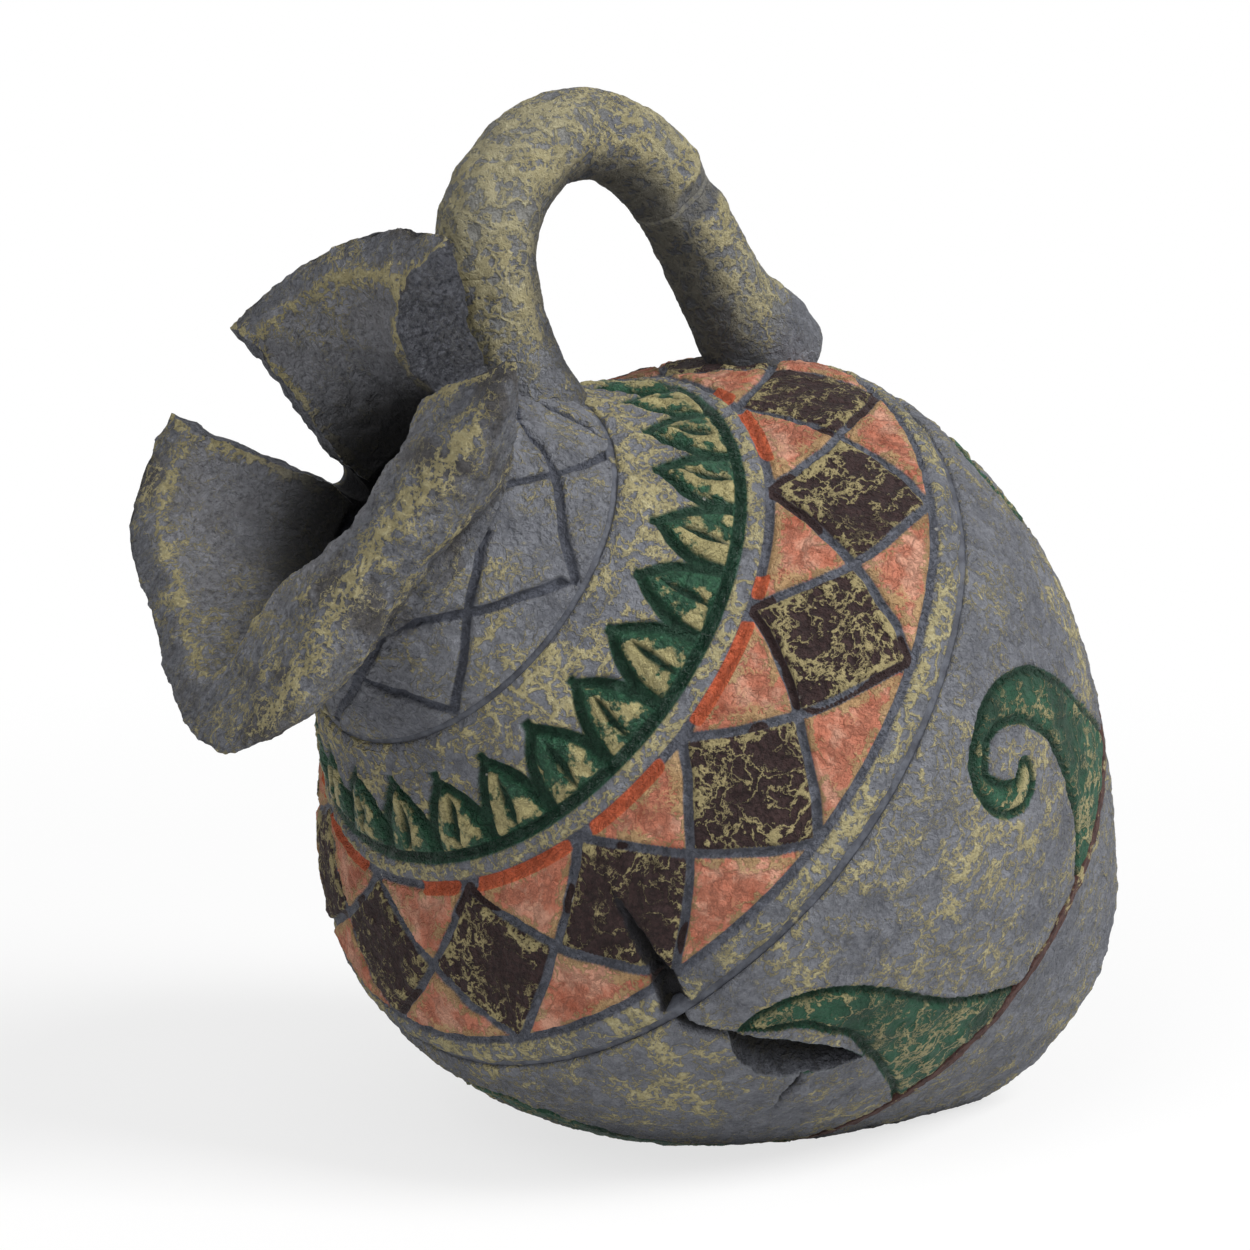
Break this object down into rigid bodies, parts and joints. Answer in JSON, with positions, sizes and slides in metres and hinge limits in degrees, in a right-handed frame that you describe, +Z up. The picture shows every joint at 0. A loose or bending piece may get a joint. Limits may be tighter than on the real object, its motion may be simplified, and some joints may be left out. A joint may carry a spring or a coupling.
{
  "type": "askos jug",
  "caption": "Round-bellied clay jug lying on a worn flat, with a pinched broken mouth, a coil handle, a lozenge band, a leaf band and running scrolls.",
  "frame": {"origin": "point of the worn rest flat straight below the centre of the belly", "axes": "+Z up from the floor, -X towards the mouth, the handle in the XZ plane, -Y the pictured side"},
  "size_m": [0.1666, 0.1226, 0.1572],
  "materials": {
    "body_clay": "matte",
    "mouth_clay": "matte",
    "handle_clay": "matte",
    "groove_slip": "satin",
    "brown_slip": "matte",
    "mend_filler": "matte"
  },
  "bodies": {
    "root": {"base_cup": "body_clay", "belly_barrel": "body_clay", "shoulder_dome": "body_clay", "neck_collar": "body_clay", "mouth_funnel": "mouth_clay", "handle_root": "handle_clay", "handle_arch": "handle_clay", "handle_leg": "handle_clay", "neck_slip": "groove_slip", "belly_slip": "groove_slip", "foot_slip": "brown_slip", "handle_mend": "mend_filler"}
  },
  "joints": []
}
